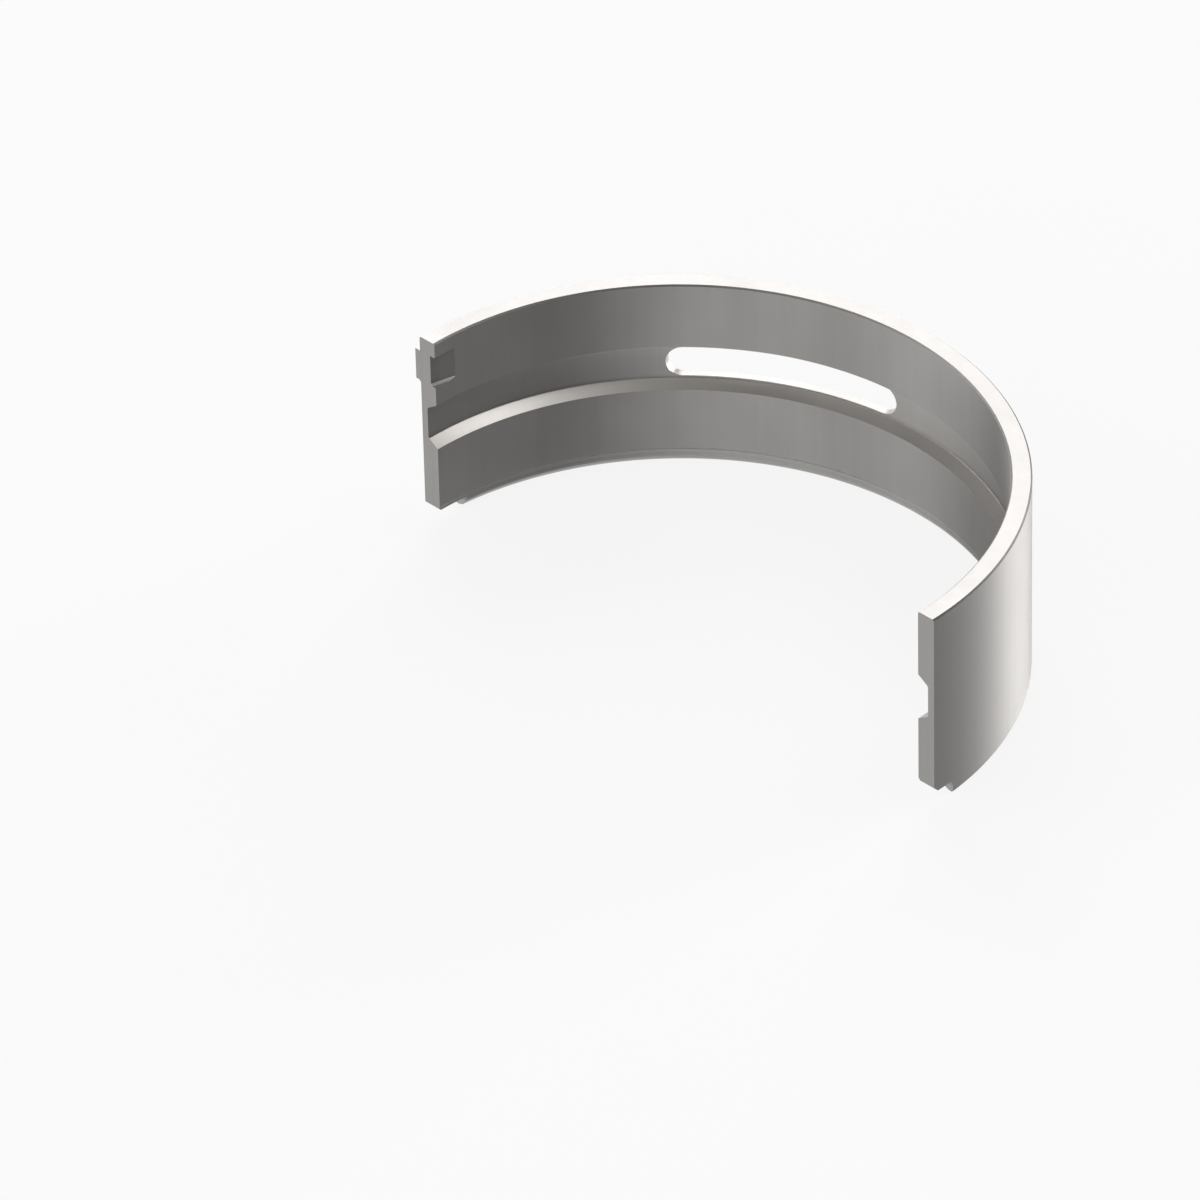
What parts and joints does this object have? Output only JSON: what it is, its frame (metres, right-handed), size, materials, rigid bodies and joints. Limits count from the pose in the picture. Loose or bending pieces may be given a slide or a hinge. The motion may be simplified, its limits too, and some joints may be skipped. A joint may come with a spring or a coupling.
{
  "type": "engine bearing shell",
  "caption": "Half-round crankshaft main bearing shell with an oil groove, an oil slot, a locating lug and a stepped end lip.",
  "frame": {"origin": "bearing axis at the middle of the oil groove, in the plane of the joint faces", "axes": "+Z along the bearing axis from the lip towards the plain rim, +Y from the axis towards the crown, -X towards the joint face with the locating lug"},
  "size_m": [0.0848, 0.042, 0.0265],
  "materials": {
    "bearing_metal": "satin grey, finely bored inside, ground back, cut joint faces"
  },
  "bodies": {
    "root": {"bearing_shell": "bearing_metal"}
  },
  "joints": []
}
